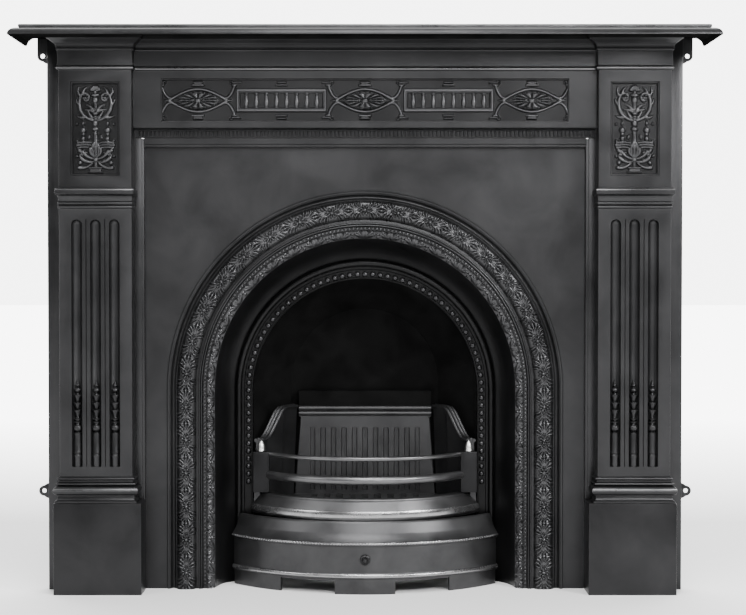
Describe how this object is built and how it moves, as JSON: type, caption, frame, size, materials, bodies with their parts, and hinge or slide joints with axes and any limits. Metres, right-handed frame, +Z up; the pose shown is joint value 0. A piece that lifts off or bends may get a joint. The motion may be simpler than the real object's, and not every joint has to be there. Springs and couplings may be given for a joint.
{
  "type": "cast-iron fireplace surround",
  "caption": "Cast-iron fireplace with a moulded mantel shelf, fluted legs, ornamented frieze, arched insert, open basket grate and bowed ash-pan cover.",
  "frame": {"origin": "on the floor, under the middle of the whole object's box", "axes": "+X to the right as the room sees it, +Y back into the chimney, +Z up; the front faces -Y"},
  "size_m": [1.437, 0.385, 1.1703],
  "materials": {
    "surround": "satin black",
    "insert": "graphite blacked",
    "firebox": "matt, sooty",
    "hearth": "burnished with graphite",
    "bright": "polished nickel"
  },
  "bodies": {
    "root": {"mantel_shelf": "surround", "frieze": "surround", "left_leg": "surround", "right_leg": "surround", "left_lower_lug": "surround", "left_upper_lug": "surround", "right_lower_lug": "surround", "right_upper_lug": "surround", "arched_plate": "insert", "firebox": "firebox", "fire_back": "firebox", "left_cheek": "firebox", "right_cheek": "firebox", "bottom_grate": "firebox", "front_bars": "hearth", "front_ledge": "hearth", "ash_pan_cover": "hearth", "left_finial": "bright", "right_finial": "bright"}
  },
  "joints": []
}
